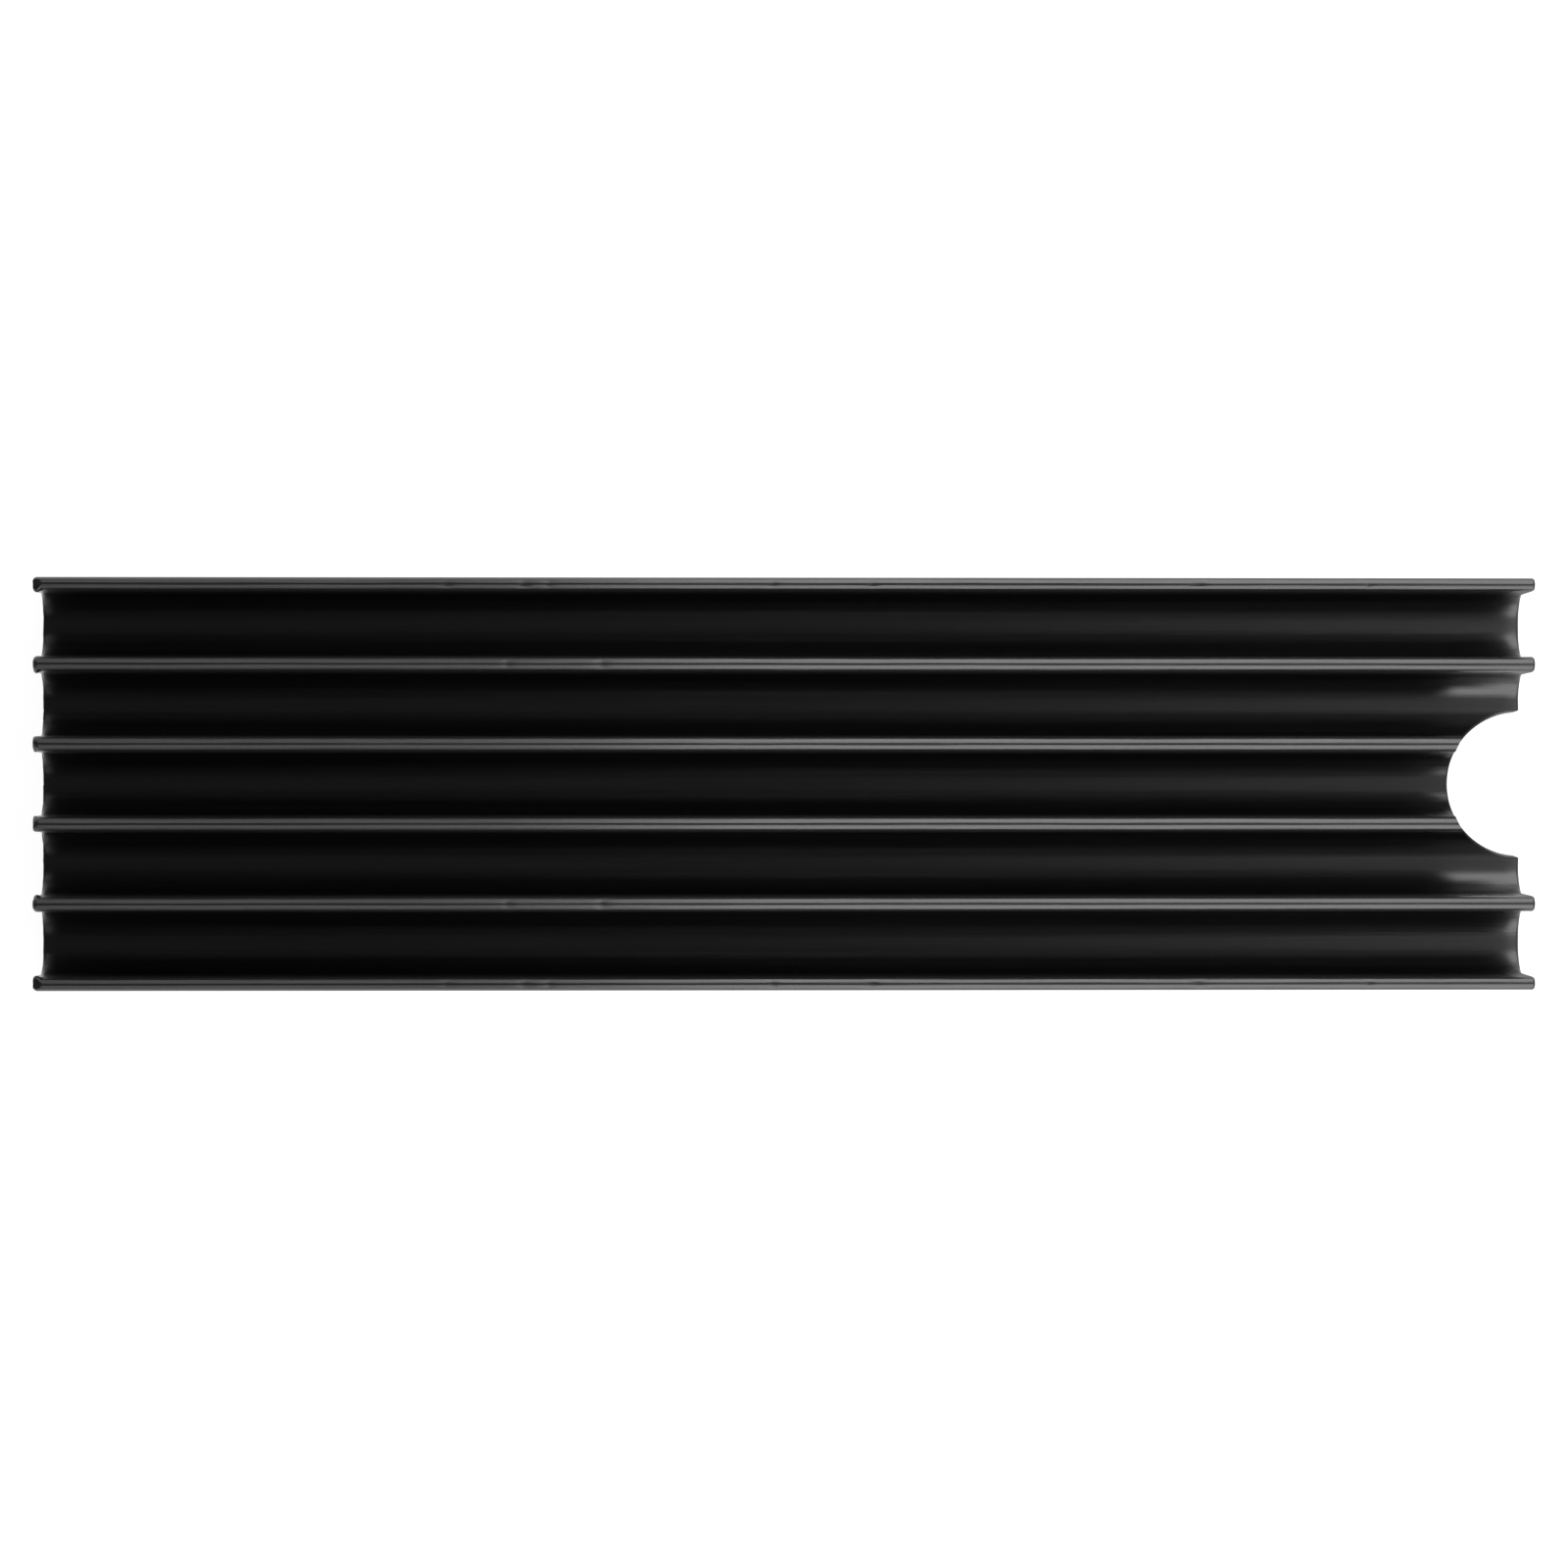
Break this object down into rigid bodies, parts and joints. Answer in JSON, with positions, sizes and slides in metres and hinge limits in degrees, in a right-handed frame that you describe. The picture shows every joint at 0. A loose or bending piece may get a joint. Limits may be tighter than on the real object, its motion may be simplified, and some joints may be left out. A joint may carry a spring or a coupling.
{
  "type": "ssd heat sink",
  "caption": "Black anodised extruded aluminium heat sink for a flat solid-state drive board: flat base, straight fins and a half-round screw notch in one end.",
  "frame": {"origin": "centre of the flat contact face, at the bottom", "axes": "+X along the bar towards the end with the screw notch, +Y across the fins, +Z from the contact face up the fins"},
  "size_m": [0.08, 0.022, 0.008],
  "materials": {
    "black_anodised_aluminium": "satin black anodised extrusion, with fine lines along its length"
  },
  "bodies": {
    "root": {"heatsink_body": "black_anodised_aluminium"}
  },
  "joints": []
}
